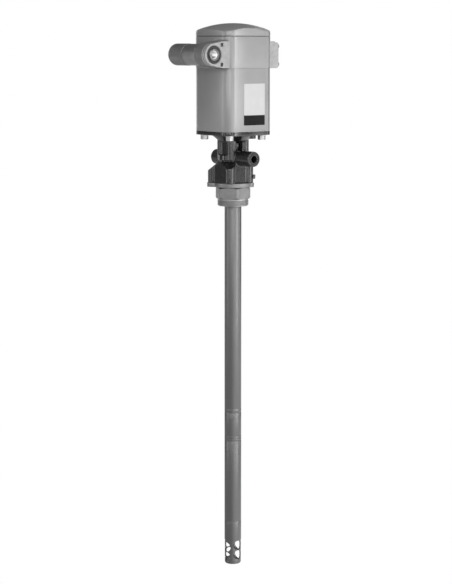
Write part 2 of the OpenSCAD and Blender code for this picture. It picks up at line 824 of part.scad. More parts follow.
module drive_rod() {
  color(c_steel) difference() {
    union() {
      translate([0, 0, drive_end]) cylinder(r = rod_r, h = z_piston - piston_t + 8 - drive_end);
      translate([0, 0, z_piston - piston_t + 8 - e]) cylinder(r = rod_r - 2.02, h = piston_t - 10 + e);
    }
    translate([0, 0, drive_end - e]) cylinder(r = pump_rod_r + 0.02, h = joint_l + e);
    translate([-tube_r, 0, drive_end + 10]) rotate([0, 90, 0]) cylinder(r = 2, h = tube_d);
  }
}

pump_rod_r = 4.2;
z_pp = z_foot + 88;

module coupling_pin() {
  color(c_steel) translate([-rod_r + 0.3, 0, drive_end + 10]) rotate([0, 90, 0]) cylinder(r = 1.98, h = rod_d - 0.6);
}

module pump_rod() {
  color(c_steel) difference() {
    translate([0, 0, z_pp + 30]) cylinder(r = pump_rod_r, h = drive_end + joint_l - 0.5 - z_pp - 30);
    translate([-tube_r, 0, drive_end + 10]) rotate([0, 90, 0]) cylinder(r = 2, h = tube_d);
  }
}

ball_r = 3.6;

module pump_piston() {
  color(c_steel) translate([0, 0, z_pp]) difference() {
    cylinder(r = piston_r - run_gap, h = 40);
    // Socket of the pump rod, ball cage and its seat, socket of the priming rod
    translate([0, 0, 30]) cylinder(r = pump_rod_r + 0.02, h = 12);
    translate([0, 0, 17]) cylinder(r = ball_r + 0.9, h = 11);
    translate([0, 0, 12]) cylinder(r = 2.6, h = 6);
    translate([0, 0, -e]) cylinder(r = priming_r + 0.02, h = 10 + e);
    for (a = [0, 90]) rotate(a) {
      translate([-20, 0, 14]) rotate([0, 90, 0]) cylinder(r = 1.8, h = 40);
      translate([-20, 0, 25]) rotate([0, 90, 0]) cylinder(r = 1.8, h = 40);
    }
    translate([0, 0, 12]) ring(piston_r + 1, piston_r - 1.5, 4);
    translate([0, 0, 23]) ring(piston_r + 1, piston_r - 1.5, 18);
  }
}

priming_r = 3.5;
z_shovel = z_seat - 16;

module priming_rod() {
  color(c_steel) difference() {
    translate([0, 0, z_shovel - 11]) cylinder(r = priming_r, h = z_pp + 9.5 - z_shovel + 11);
    translate([0, 0, z_shovel - 12]) ring(priming_r + 1, 2.5, 17);
  }
}

module shovel_disc() {
  color(c_steel) translate([0, 0, z_shovel]) ring(foot_in - 0.4, 2.52, 5);
}

module shovel_nut() {
  color(c_steel) translate([0, 0, z_shovel - 6]) difference() {
    hex_head(10, 6);
    translate([0, 0, -e]) cylinder(r = 2.52, h = 8);
  }
}

spool_l = 84;

module valve_spool() {
  land_r = spool_d / 2 - run_gap;
  color(c_steel) along_x(-spool_l / 2 - spool_stroke / 2, 0, z_spool) difference() {
    cylinder(r = land_r, h = spool_l);
    for (x = [0:3]) translate([0, 0, 8 + 19 * x]) ring(spool_d, land_r - 3, 11);
    for (x = [2.5, spool_l - 5]) translate([0, 0, x]) ring(spool_d, land_r - 1.5, 2.5);
  }
}

module spool_rings() {
  color(c_rubber) along_x(-spool_l / 2 - spool_stroke / 2, 0, z_spool)
    for (x = [2.55, spool_l - 4.95]) translate([0, 0, x]) ring(spool_d / 2 - 0.02, spool_d / 2 - run_gap - 1.48, 2.4);
}

module piston_ball() {
  seat_drop = sqrt(ball_r * ball_r - 2.6 * 2.6);
  color(c_steel) translate([0, 0, z_pp + 17 + seat_drop + 0.02]) sphere(ball_r);
}

foot_lift = 5;

module foot_disc() {
  color(c_steel) translate([0, 0, z_seat + 1.5]) ring(9.5, priming_r + free_gap, 5);
}

top_cover();
cover_gasket();
head_shell();
valve_block();
valve_sleeve();
valve_end_cap();
end_cap_screws();
air_manifold();
manifold_screws();
inlet_bushing();
muffler_body();
muffler_core();
air_cylinder();
cylinder_seals();
shroud();
base_plate();
tie_bolts();
rod_bushing();
rod_seal();
outlet_body();
body_screws();
packing();
packing_nut();
outlet_plug();
bleed_screw();
flange_plate();
flange_screws();
bung_adapter();
suction_tube();
tube_coupling();
pump_cylinder();
foot_housing();
foot_seat();
air_piston();
piston_seal();
piston_nut();
drive_rod();
coupling_pin();
pump_rod();
pump_piston();
priming_rod();
shovel_disc();
shovel_nut();
valve_spool();
spool_rings();
piston_ball();
foot_disc();
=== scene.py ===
import json
import math

import bmesh
import bpy
from mathutils import Matrix, Vector

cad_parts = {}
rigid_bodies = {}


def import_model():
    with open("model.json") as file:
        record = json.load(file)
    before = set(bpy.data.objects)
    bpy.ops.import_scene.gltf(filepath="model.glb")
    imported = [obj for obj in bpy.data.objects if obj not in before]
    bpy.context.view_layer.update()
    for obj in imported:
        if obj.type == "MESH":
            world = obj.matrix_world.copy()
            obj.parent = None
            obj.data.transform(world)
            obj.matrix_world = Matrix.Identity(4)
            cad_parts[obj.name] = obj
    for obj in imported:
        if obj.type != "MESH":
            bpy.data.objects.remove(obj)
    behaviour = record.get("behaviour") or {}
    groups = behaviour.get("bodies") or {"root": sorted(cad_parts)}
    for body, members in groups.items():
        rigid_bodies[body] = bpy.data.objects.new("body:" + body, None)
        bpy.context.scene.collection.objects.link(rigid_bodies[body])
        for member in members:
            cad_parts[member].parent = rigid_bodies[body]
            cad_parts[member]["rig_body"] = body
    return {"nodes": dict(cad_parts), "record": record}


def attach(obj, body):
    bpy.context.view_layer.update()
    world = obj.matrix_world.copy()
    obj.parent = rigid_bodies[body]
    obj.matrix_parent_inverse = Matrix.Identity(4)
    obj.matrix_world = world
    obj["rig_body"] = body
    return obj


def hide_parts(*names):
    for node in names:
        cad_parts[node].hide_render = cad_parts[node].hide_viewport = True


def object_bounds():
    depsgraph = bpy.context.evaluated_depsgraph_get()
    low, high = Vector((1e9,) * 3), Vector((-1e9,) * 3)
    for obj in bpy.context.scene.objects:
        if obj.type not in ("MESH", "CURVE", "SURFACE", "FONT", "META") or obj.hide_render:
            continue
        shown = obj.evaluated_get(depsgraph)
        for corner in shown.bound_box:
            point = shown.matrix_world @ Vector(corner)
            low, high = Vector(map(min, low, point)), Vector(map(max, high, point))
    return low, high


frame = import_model()
cad_lo, cad_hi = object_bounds()
nodes = frame["nodes"]
SLOT = {s["node"]: s["material_slot"] for s in frame["record"]["subparts"]}
MM = 0.001

# Sizes repeated from the part's source, in millimetres
HALF, CORNER, CROWN, PROUD = 57.0, 20.0, 380.0, 0.6
Z_HEAD, Z_COVER = 247.4, 306.8
COVER_RISE, DOME_R, GASKET = 25.2, 185.0, 1.0
BLOCK_H, PORT_RISE = 50.5, 0.5
PORT_X, PORT_FACE_Y, MANIFOLD_Y = 86.0, 54.0, -18.0
PORT_Z = Z_HEAD + BLOCK_H / 2 + PORT_RISE
BUSHING_R, BUSHING_L, BUSHING_PROUD, INLET_R = 11.2, 18.0, 0.5, 7.8
MUFFLER_R, MUFFLER_L, CORE_R = 20.6, 85.0, 9.0
BUNG_R, BUNG_L, HEX_AF, HEX_CORNER_R, HEX_H = 29.8, 13.5, 60.0, 33.75, 22.5
TUBE_R, SPIGOT_R, SPIGOT_L = 16.1, 22.0, 14.0


# Shader nodes

def shader(name, base, rough, metal=0.0, spec=0.5):
    """A new material, its node tree and its Principled node."""
    material = bpy.data.materials.new(name)
    material.use_nodes = True
    tree = material.node_tree
    bsdf = tree.nodes["Principled BSDF"]
    bsdf.inputs["Base Color"].default_value = (*base, 1)
    bsdf.inputs["Roughness"].default_value = rough
    bsdf.inputs["Metallic"].default_value = metal
    bsdf.inputs["Specular IOR Level"].default_value = spec
    return material, tree, bsdf


def coords(tree, stretch=(1, 1, 1)):
    """Object coordinates in metres, scaled along each axis."""
    place = tree.nodes.new("ShaderNodeTexCoord")
    mapping = tree.nodes.new("ShaderNodeMapping")
    mapping.inputs["Scale"].default_value = stretch
    tree.links.new(place.outputs["Object"], mapping.inputs["Vector"])
    return mapping.outputs["Vector"]


def noise(tree, vec, scale, detail=3.0, rough=0.55):
    node = tree.nodes.new("ShaderNodeTexNoise")
    node.inputs["Scale"].default_value = scale
    node.inputs["Detail"].default_value = detail
    node.inputs["Roughness"].default_value = rough
    tree.links.new(vec, node.inputs["Vector"])
    return node.outputs["Fac"]


def spread(tree, fac, lo, hi, from_lo=0.3, from_hi=0.7):
    """A factor's run from from_lo to from_hi, spread out from lo to hi."""
    node = tree.nodes.new("ShaderNodeMapRange")
    node.inputs["From Min"].default_value = from_lo
    node.inputs["From Max"].default_value = from_hi
    node.inputs["To Min"].default_value = lo
    node.inputs["To Max"].default_value = hi
    tree.links.new(fac, node.inputs["Value"])
    return node.outputs["Result"]


def ramp(tree, fac, stops):
    """The colour at a factor, between stops of (place, colour)."""
    node = tree.nodes.new("ShaderNodeValToRGB")
    elements = node.color_ramp.elements
    while len(elements) < len(stops):
        elements.new(0.5)
    for element, (place, colour) in zip(elements, stops):
        element.position = place
        element.color = (*colour, 1)
    tree.links.new(fac, node.inputs["Fac"])
    return node.outputs["Color"]


def calc(tree, operation, *values):
    """The result of a math node whose values are numbers or the outputs of other nodes."""
    node = tree.nodes.new("ShaderNodeMath")
    node.operation = operation
    for socket, value in zip(node.inputs, values):
        if isinstance(value, float):
            socket.default_value = value
        else:
            tree.links.new(value, socket)
    return node.outputs["Value"]


def grey(tone):
    return (tone, tone, tone)


def mottled(tree, bsdf, fac, dark, light, start=0.3, end=0.7):
    """Let the base colour go from dark to light with a factor."""
    tree.links.new(ramp(tree, fac, [(start, dark), (end, light)]), bsdf.inputs["Base Color"])


def roughened(tree, bsdf, fac, *span):
    """Let the roughness change with a factor, over the span that spread takes."""
    tree.links.new(spread(tree, fac, *span), bsdf.inputs["Roughness"])


def bump(tree, bsdf, height, distance, strength):
    """Raise the surface with a height, by a distance in metres, on top of the bumps that it has."""
    node = tree.nodes.new("ShaderNodeBump")
    node.inputs["Distance"].default_value = distance
    node.inputs["Strength"].default_value = strength
    tree.links.new(height, node.inputs["Height"])
    before = bsdf.inputs["Normal"].links
    if before:
        tree.links.new(before[0].from_socket, node.inputs["Normal"])
    tree.links.new(node.outputs["Normal"], bsdf.inputs["Normal"])


def toned(material, axis, *tones):
    """Multiply the base colour by tones along an axis, which here paint light and shade: (place in
    millimetres, tone), in rising order.
    """
    tree = material.node_tree
    colour = tree.nodes["Principled BSDF"].inputs["Base Color"]
    start, end = tones[0][0], tones[-1][0]
    place = tree.nodes.new("ShaderNodeTexCoord")
    split = tree.nodes.new("ShaderNodeSeparateXYZ")
    tree.links.new(place.outputs["Object"], split.inputs["Vector"])
    along = spread(tree, split.outputs[axis], 0, 1, start * MM, end * MM)
    stops = [((at - start) / (end - start), grey(tone)) for at, tone in tones]
    mix = tree.nodes.new("ShaderNodeMix")
    mix.data_type = "RGBA"
    mix.blend_type = "MULTIPLY"
    # Sockets of a colour mix: 0 is the factor, 6 and 7 are the two colours, output 2 is the result
    mix.inputs[0].default_value = 1
    tree.links.new(colour.links[0].from_socket, mix.inputs[6])
    tree.links.new(ramp(tree, along, stops), mix.inputs[7])
    tree.links.new(mix.outputs[2], colour)


# Materials

def paint():
    material, tree, bsdf = shader("paint", grey(0.36), 0.36, 0.35, 0.8)
    vec = coords(tree)
    mottled(tree, bsdf, noise(tree, vec, 30, 4), grey(0.35), grey(0.375))
    roughened(tree, bsdf, noise(tree, vec, 120), 0.31, 0.35)
    bump(tree, bsdf, noise(tree, vec, 900, 2), 0.00001, 0.4)
    return material


def cast_alu(name):
    material, tree, bsdf = shader(name, grey(0.45), 0.45, 0.25)
    vec = coords(tree)
    fine = noise(tree, vec, 1500, 3, 0.65)
    coarse = noise(tree, vec, 160, 4)
    mottled(tree, bsdf, coarse, grey(0.4), grey(0.5))
    roughened(tree, bsdf, fine, 0.36, 0.55)
    bump(tree, bsdf, fine, 0.00012, 0.7)
    bump(tree, bsdf, coarse, 0.0003, 0.4)
    return material


def black_cast():
    material, tree, bsdf = shader("black_cast", grey(0.012), 0.24, 0.0, 1.0)
    vec = coords(tree)
    fine = noise(tree, vec, 900, 3, 0.6)
    coarse = noise(tree, vec, 130, 4)
    mottled(tree, bsdf, coarse, grey(0.01), grey(0.018), 0.3, 0.75)
    roughened(tree, bsdf, coarse, 0.15, 0.22)
    bump(tree, bsdf, fine, 0.00006, 0.5)
    bump(tree, bsdf, coarse, 0.0001, 0.3)
    return material


def plated(name, base, rough):
    """Bare or plated metal with a fine grain."""
    material, tree, bsdf = shader(name, grey(base), rough, 1.0)
    vec = coords(tree)
    fine = noise(tree, vec, 400, 4, 0.6)
    mottled(tree, bsdf, noise(tree, vec, 60, 4), grey(base * 0.88), grey(base * 1.08))
    roughened(tree, bsdf, fine, rough * 0.8, rough * 1.3)
    bump(tree, bsdf, fine, 0.00004, 0.6)
    return material


def steel_tube():
    """Drawn steel, with streaks and cloudy tones stretched along Z."""
    material, tree, bsdf = shader("steel", grey(0.22), 0.36, 1.0)
    streak = noise(tree, coords(tree, (1, 1, 0.02)), 900, 4, 0.6)
    cloud = noise(tree, coords(tree, (1, 1, 0.15)), 45, 5, 0.6)
    mottled(tree, bsdf, cloud, grey(0.205), grey(0.235))
    roughened(tree, bsdf, streak, 0.38, 0.44)
    bump(tree, bsdf, streak, 0.00002, 0.5)
    return material


def mesh_can():
    """Woven wire: two sets of bands that cross on the can's unrolled skin."""
    material, tree, bsdf = shader("muffler", grey(0.15), 0.45, 0.7)
    uv = tree.nodes.new("ShaderNodeUVMap")
    uv.uv_map = "weave"
    bands = []
    for slant in (-45, 45):
        mapping = tree.nodes.new("ShaderNodeMapping")
        mapping.inputs["Rotation"].default_value = (0, 0, math.radians(slant))
        mapping.inputs["Scale"].default_value = (160, 160, 1)
        tree.links.new(uv.outputs["UV"], mapping.inputs["Vector"])
        wave = tree.nodes.new("ShaderNodeTexWave")
        wave.wave_type = "BANDS"
        wave.bands_direction = "X"
        wave.inputs["Scale"].default_value = 1.0
        tree.links.new(mapping.outputs["Vector"], wave.inputs["Vector"])
        bands.append(wave.outputs["Fac"])
    weave = calc(tree, "MAXIMUM", *bands)
    mottled(tree, bsdf, weave, grey(0.06), grey(0.34), 0.35, 0.9)
    roughened(tree, bsdf, weave, 0.6, 0.36, 0.2, 0.9)
    bump(tree, bsdf, weave, 0.0005, 0.8)
    return material


def rubber():
    material, tree, bsdf = shader("rubber", grey(0.02), 0.6)
    vec = coords(tree)
    mottled(tree, bsdf, noise(tree, vec, 200), grey(0.016), grey(0.028))
    bump(tree, bsdf, noise(tree, vec, 1200), 0.0001, 0.5)
    return material


def brass():
    material, tree, bsdf = shader("brass", (0.6, 0.45, 0.2), 0.3, 1.0)
    fine = noise(tree, coords(tree, (1, 1, 8)), 300)
    mottled(tree, bsdf, fine, (0.52, 0.38, 0.16), (0.64, 0.49, 0.23))
    roughened(tree, bsdf, fine, 0.24, 0.4)
    return material


def plate_print():
    material, tree, bsdf = shader("plate_print", grey(0.7), 0.4)
    vec = coords(tree)
    mottled(tree, bsdf, noise(tree, vec, 80), grey(0.68), grey(0.72))
    bump(tree, bsdf, noise(tree, vec, 700), 0.00002, 0.5)
    return material


def plate_band():
    material, tree, bsdf = shader("plate_band", grey(0.006), 0.3, 0.0, 0.2)
    vec = coords(tree)
    mottled(tree, bsdf, noise(tree, vec, 90), grey(0.005), grey(0.009))
    bump(tree, bsdf, noise(tree, vec, 700), 0.00002, 0.5)
    return material


MATERIALS = {
    "paint": paint(), "cast_alu": cast_alu("cast_alu"), "black_cast": black_cast(),
    "zinc": plated("zinc", 0.3, 0.48), "steel": steel_tube(),
    "dark_steel": plated("dark_steel", 0.16, 0.35), "muffler": mesh_can(), "rubber": rubber(),
    "brass": brass(),
}
COLLAR = plated("collar", 0.4, 0.36)
BOLT = plated("bolt_zinc", 0.62, 0.4)
# Painted light: the bung's thread is painted lighter than its hexagon, as light on the thread's flanks
BUNG = plated("bung_zinc", 0.5, 0.45)
toned(BUNG, "Z", (-0.6, 1), (0.2, 0.6))
# Painted highlight and shade: the bushing's bore is painted bright as lit metal, and its face dark as a
# shaded ring round the port
BUSHING = plated("bushing_zinc", 0.85, 0.34)
toned(BUSHING, "Y", (-53.5, 0.3), (-53.1, 1))
# Painted highlights and shade on the manifold: bright rings for the lit edges of the port's rim, dark rings
# for its shaded grooves, and the side behind the rim painted darker as shade
MANIFOLD = cast_alu("manifold_alu")
toned(MANIFOLD, "Y", (-53.8, 0.9), (-53.2, 1.6), (-51.9, 1.6), (-51.6, 0.1), (-49.8, 0.1), (-49.5, 1.6),
      (-47.6, 1.6), (-47.3, 0.1), (-45.3, 0.1), (-45, 1.5), (-43, 1.3), (-42, 0.5))

# Nodes whose look differs from that of their slot
OWN_LOOK = {"tie_bolts": BOLT, "air_manifold": MANIFOLD}

for name, obj in nodes.items():
    obj.data.materials.clear()
    obj.data.materials.append(MATERIALS[SLOT[name]])


# Mesh helpers

def linked(name, data):
    """A new object in the scene."""
    obj = bpy.data.objects.new(name, data)
    bpy.context.scene.collection.objects.link(obj)
    return obj


def new_piece(name, mesh, material, body, slot, *stands_for):
    mesh.materials.clear()
    mesh.materials.append(material)
    obj = linked(name, mesh)
    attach(obj, body)
    if stands_for:
        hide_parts(*stands_for)


def smooth(mesh, angle):
    """Shade the mesh smooth, but for edges sharper than an angle in degrees."""
    for face in mesh.polygons:
        face.use_smooth = True
    mesh.set_sharp_from_angle(angle=math.radians(angle))


def vertex(bm, r, angle, z):
    """A new vertex at a radius and height in millimetres, at an angle round Z in radians."""
    return bm.verts.new(Vector((r * math.cos(angle), r * math.sin(angle), z)) * MM)


def finished(bm, name):
    """The mesh of a finished bmesh, its faces turned outwards."""
    bmesh.ops.recalc_face_normals(bm, faces=bm.faces)
    mesh = bpy.data.meshes.new(name)
    bm.to_mesh(mesh)
    bm.free()
    return mesh


def work_copy(node):
    """A copy of the CAD piece with its double vertices joined."""
    mesh = nodes[node].data.copy()
    bm = bmesh.new()
    bm.from_mesh(mesh)
    bmesh.ops.remove_doubles(bm, verts=bm.verts, dist=0.002 * MM)
    bm.to_mesh(mesh)
    bm.free()
    if "custom_normal" in mesh.attributes:
        mesh.attributes.remove(mesh.attributes["custom_normal"])
    return linked(node + "_work", mesh)


def stand_in(node, work, angle):
    """Apply the modifiers of a work copy, and let the result stand for its CAD piece."""
    name = node + "_look"
    depsgraph = bpy.context.evaluated_depsgraph_get()
    mesh = bpy.data.meshes.new_from_object(work.evaluated_get(depsgraph))
    mesh.name = name
    bpy.data.objects.remove(work)
    smooth(mesh, angle)
    material = OWN_LOOK.get(node, MATERIALS[SLOT[node]])
    new_piece(name, mesh, material, nodes[node]["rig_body"], SLOT[node], node)


# In degrees: faces this flat are joined, sharper edges are broken, and shading is sharp from there on
FLAT_ANGLE, EDGE_ANGLE, EDGED_SHARP, CAST_SHARP = 0.6, 32, 28, 60


def edged(node, width):
    """The CAD piece with its edges broken, as a machined or moulded part has."""
    work = work_copy(node)
    bm = bmesh.new()
    bm.from_mesh(work.data)
    bmesh.ops.dissolve_limit(bm, angle_limit=math.radians(FLAT_ANGLE), verts=bm.verts, edges=bm.edges)
    bm.to_mesh(work.data)
    bm.free()
    bevel = work.modifiers.new("edges", "BEVEL")
    bevel.width = width * MM
    bevel.segments = 2
    bevel.limit_method = "ANGLE"
    bevel.angle_limit = math.radians(EDGE_ANGLE)
    bevel.use_clamp_overlap = True
    stand_in(node, work, EDGED_SHARP)


def cast(node, voxel, rounds):
    """The CAD piece with the soft edges of a casting."""
    work = work_copy(node)
    remesh = work.modifiers.new("cast", "REMESH")
    remesh.mode = "VOXEL"
    remesh.voxel_size = voxel * MM
    soft = work.modifiers.new("soft", "SMOOTH")
    soft.factor = 0.5
    soft.iterations = rounds
    stand_in(node, work, CAST_SHARP)


# Domed cover

def outline_radius(theta, proud):
    """Distance from the axis to the housing's crowned outline, for a wall that stands proud of it."""
    half, corner, crown = HALF + proud, CORNER + proud, CROWN + proud
    # The face is an arc round (-back, 0), and the corner next to it one round (centre, centre)
    back = crown - half
    centre = (-back + math.sqrt(2 * (crown - corner) ** 2 - back * back)) / 2
    turn = theta % (math.pi / 2)
    turn = turn - math.pi / 2 if turn > math.pi / 4 else turn
    dx, dy = math.cos(turn), math.sin(turn)
    to_face = -back * dx + math.sqrt(crown * crown - (back * dy) ** 2)
    if abs(to_face * dy) / (to_face * dx + back) <= centre / (centre + back):
        return to_face
    nearest = centre * dx + centre * abs(dy)
    return nearest + math.sqrt(max(nearest * nearest - (2 * centre * centre - corner * corner), 0))


def curve(p, q, r, u):
    """The point at u, from 0 to 1, on a curve from p to r that bends towards q."""
    return tuple((1 - u) ** 2 * a + 2 * u * (1 - u) * b + u * u * c for a, b, c in zip(p, q, r))


def dome():
    """The cover's dome, with the rolled edge between dome and wall."""
    steps, rim_steps, roll_steps, dome_steps = 256, 3, 8, 24
    rim_w, rim_r, roll, hollow = 2.4, 0.6, 4.5, 4.0
    z_rim = Z_COVER + GASKET
    centre = Z_COVER + COVER_RISE - DOME_R
    thetas = [2 * math.pi * i / steps for i in range(steps)]

    def dome_z(r):
        return centre + math.sqrt(DOME_R ** 2 - r * r)

    def profile(wall):
        """Radius and height of the points from the rim up to the last ring before the tip."""
        points = [(wall - rim_w, z_rim), (wall - rim_r, z_rim)]
        for k in range(1, rim_steps + 1):
            a = k / rim_steps * math.pi / 2
            points.append((wall - rim_r + rim_r * math.sin(a), z_rim + rim_r - rim_r * math.cos(a)))
        foot, peak = (wall, dome_z(wall) - roll), (wall, dome_z(wall))
        inside = (wall - roll, dome_z(wall - roll))
        points += [curve(foot, peak, inside, k / roll_steps) for k in range(roll_steps + 1)]
        shares = [1 - k / dome_steps for k in range(1, dome_steps)]
        return points + [(s * (wall - roll), dome_z(s * (wall - roll))) for s in shares]

    bm = bmesh.new()
    profiles = [profile(outline_radius(t, PROUD)) for t in thetas]
    rings = [[vertex(bm, r, t, z) for (r, z), t in zip(ring, thetas)] for ring in zip(*profiles)]
    rim, last = rings[0], rings[-1]
    for lower, upper in zip(rings, rings[1:]):
        for j in range(steps):
            k = (j + 1) % steps
            bm.faces.new((lower[j], lower[k], upper[k], upper[j]))
    tip = bm.verts.new(Vector((0, 0, Z_COVER + COVER_RISE)) * MM)
    for j in range(steps):
        bm.faces.new((last[j], last[(j + 1) % steps], tip))
    # The underside is closed by a flat ceiling over the hollow inside the rim
    ceiling = [bm.verts.new(v.co + Vector((0, 0, hollow)) * MM) for v in rim]
    for j in range(steps):
        k = (j + 1) % steps
        bm.faces.new((rim[k], rim[j], ceiling[j], ceiling[k]))
    bm.faces.new(ceiling)
    mesh = finished(bm, "top_cover_look")
    smooth(mesh, 40)
    new_piece("top_cover_look", mesh, MATERIALS["paint"], "root", "paint", "top_cover")


dome()


# CAD pieces with softer edges

# Width of the broken edges, in millimetres
EDGES = {
    "head_shell": 0.5, "shroud": 0.3, "base_plate": 0.8, "flange_plate": 0.5, "outlet_plug": 0.25,
    "bleed_screw": 0.25, "flange_screws": 0.25, "end_cap_screws": 0.2, "manifold_screws": 0.2,
    "foot_housing": 0.3, "tube_coupling": 0.15, "suction_tube": 0.15, "pump_cylinder": 0.15,
    "shovel_disc": 0.2, "shovel_nut": 0.2, "packing_nut": 0.3, "tie_bolts": 0.25,
}
# Voxel size in millimetres and rounds of smoothing
CASTINGS = {"outlet_body": (0.8, 5), "air_manifold": (0.6, 4), "valve_end_cap": (0.5, 4)}

for node, width in EDGES.items():
    edged(node, width)
for node, (voxel, rounds) in CASTINGS.items():
    cast(node, voxel, rounds)
# The valve block is a casting with milled faces, so its edges are broken instead
edged("valve_block", 0.6)


# Threads

# Levels of points to each turn of a thread
PER_TURN = 8


def tooth(z, pitch, turn):
    """Height of a thread's tooth, from 0 in the groove to 1 on the crest, at a share of a turn."""
    phase = (z / pitch + turn) % 1
    return 1 - abs(2 * phase - 1)


def threaded(name, steps, profile):
    """A closed ring round Z. At a share of a turn, profile gives the radius and height of its points."""
    bm = bmesh.new()
    columns = []
    for i in range(steps):
        a = 2 * math.pi * i / steps
        points = profile(i / steps)
        columns.append([vertex(bm, r, a, z) for r, z in points])
    for this, following in zip(columns, columns[1:] + columns[:1]):
        for j in range(len(this)):
            k = (j + 1) % len(this)
            bm.faces.new((this[j], following[j], following[k], this[k]))
    return finished(bm, name)


def inlet_bushing():
    """A turned sleeve with a thread inside, its mouth at the local origin and its bore along -Z."""
    steps, pitch, depth = 72, 1.34, 0.9
    chamfer, mouth, lead_in, gap = 0.9, 0.6, 1.2, 0.02
    length = BUSHING_L + BUSHING_PROUD
    outer, crest = BUSHING_R - gap, INLET_R - depth
    levels = int(length / pitch * PER_TURN)

    def profile(turn):
        points = [(outer, -length), (outer, -chamfer), (outer - chamfer, 0), (crest + depth + mouth, 0)]
        for j in range(levels + 1):
            z = -length * j / levels
            r = crest + depth * (1 - tooth(z, pitch, turn))
            if z > -lead_in:
                r = max(r, crest + depth + mouth * (1 + z / lead_in))
            points.append((r, z))
        return points

    mesh = threaded("inlet_bushing_look", steps, profile)
    mesh.transform(Matrix.Translation(Vector((-PORT_X, -PORT_FACE_Y - BUSHING_PROUD, PORT_Z)) * MM)
                   @ Matrix.Rotation(math.pi / 2, 4, "X"))
    smooth(mesh, 35)
    new_piece("inlet_bushing_look", mesh, BUSHING, "root", "zinc", "inlet_bushing")


def bung():
    """The bung adapter: a threaded stub under a hexagon with chamfered corners and the spigot's seat."""
    steps, pitch, depth = 240, 2.309, 1.4
    run_out, lead_in, lead_slope, last_level = 2.4, 2.4, 1.1, -0.4
    # Heights of the chamfers under and over the hexagon, and how far they end outside or inside its flats
    under, over, under_out, over_in = 2.4, 2.6, 0.5, 1
    bore, hex_turn, flat_r = TUBE_R + 0.5, math.radians(6), HEX_AF / 2
    levels = []
    z = -BUNG_L
    while z < last_level:
        levels.append(z)
        z += pitch / PER_TURN
    levels += [-0.3, 0.0]
    hex_levels = [0.001, 0.6, 1.2, 1.8, 2.4, 3.0, HEX_H / 2]
    hex_levels += [HEX_H - down for down in (3.2, 2.6, 2.0, 1.3, 0.6, 0)]

    def thread_r(z, turn):
        if z > -run_out:
            return BUNG_R - depth
        # The tooth is cut off at its crest above 0.85, and the groove is flat below 0.15
        cut = (0.85 - tooth(z, pitch, -turn)) / 0.7
        return min(BUNG_R - depth * max(0.0, min(1.0, cut)), BUNG_R - lead_in + (z + BUNG_L) * lead_slope)

    def corner_r(z):
        """How far the hexagon's corners reach at a height, with the chamfers under and over them."""
        if z < under:
            return flat_r + under_out + (HEX_CORNER_R - flat_r - under_out) * z / under
        if z > HEX_H - over:
            return HEX_CORNER_R - (HEX_CORNER_R - flat_r + over_in) * (z - HEX_H + over) / over
        return HEX_CORNER_R

    def profile(turn):
        sixth = math.pi / 3
        hex_r = flat_r / math.cos((2 * math.pi * turn - hex_turn) % sixth - sixth / 2)
        points = [(bore, -BUNG_L)]
        points += [(thread_r(z, turn), z) for z in levels]
        points += [(min(hex_r, corner_r(z)), z) for z in hex_levels]
        return points + [(SPIGOT_R, HEX_H), (SPIGOT_R, HEX_H - SPIGOT_L), (bore, HEX_H - SPIGOT_L)]

    mesh = threaded("bung_adapter_look", steps, profile)
    smooth(mesh, 24)
    new_piece("bung_adapter_look", mesh, BUNG, "root", "zinc", "bung_adapter")


inlet_bushing()
bung()


# Muffler: a smooth turned collar and a can in woven wire mesh

COLLAR_R, COLLAR_L = 20.2, 40.0
MUFFLER_PLACE = (Matrix.Translation(Vector((-PORT_X, MANIFOLD_Y, PORT_Z)) * MM)
                 @ Matrix.Rotation(-math.pi / 2, 4, "X"))


def revolved(name, profile):
    """A skin turned about the muffler's axis, with the weave laid out in its UVs."""
    steps = 96
    bm = bmesh.new()
    weave = bm.loops.layers.uv.new("weave")
    run = [0.0]
    for (r0, z0), (r1, z1) in zip(profile, profile[1:]):
        run.append(run[-1] + math.hypot(r1 - r0, z1 - z0))
    columns = []
    for i in range(steps):
        a = 2 * math.pi * i / steps
        columns.append([vertex(bm, r, a, z) for r, z in profile])
    columns.append(columns[0])
    around = 2 * math.pi * MUFFLER_R * MM
    for i in range(steps):
        a, b = columns[i], columns[i + 1]
        for j in range(len(profile) - 1):
            face = bm.faces.new((a[j], b[j], b[j + 1], a[j + 1]))
            for loop, (u, v) in zip(face.loops, ((i, j), (i + 1, j), (i + 1, j + 1), (i, j + 1))):
                loop[weave].uv = (around * u / steps, run[v] * MM)
    mesh = finished(bm, name)
    mesh.transform(MUFFLER_PLACE)
    smooth(mesh, 40)
    return mesh


def muffler():
    edge, wall_steps, edge_steps, end_steps = 8.0, 19, 12, 7
    shoulder, end_r = MUFFLER_L - edge, MUFFLER_R - edge
    can = [(CORE_R, COLLAR_L - 1.0), (MUFFLER_R - 0.6, COLLAR_L - 1.0), (MUFFLER_R, COLLAR_L - 0.4)]
    can += [(MUFFLER_R, COLLAR_L + (shoulder - COLLAR_L) * k / wall_steps) for k in range(wall_steps + 1)]
    for k in range(1, edge_steps + 1):
        a = k / edge_steps * math.pi / 2
        can.append((end_r + edge * math.cos(a), shoulder + edge * math.sin(a)))
    can += [(end_r * (1 - k / end_steps) + 0.01, MUFFLER_L) for k in range(1, end_steps + 1)]
    new_piece("muffler_body_look", revolved("muffler_body_look", can), MATERIALS["muffler"],
              "root", "muffler", "muffler_body")
    collar = [(CORE_R, 0.02), (COLLAR_R - 0.8, 0.02), (COLLAR_R, 0.8), (COLLAR_R, COLLAR_L - 2.6),
              (COLLAR_R - 0.7, COLLAR_L - 2.0), (COLLAR_R - 0.7, COLLAR_L - 0.9), (CORE_R, COLLAR_L - 0.9)]
    new_piece("muffler_collar_look", revolved("muffler_collar_look", collar), COLLAR, "root", "muffler")


muffler()


# Blank rating plate on the port side: a pale panel over a dark band

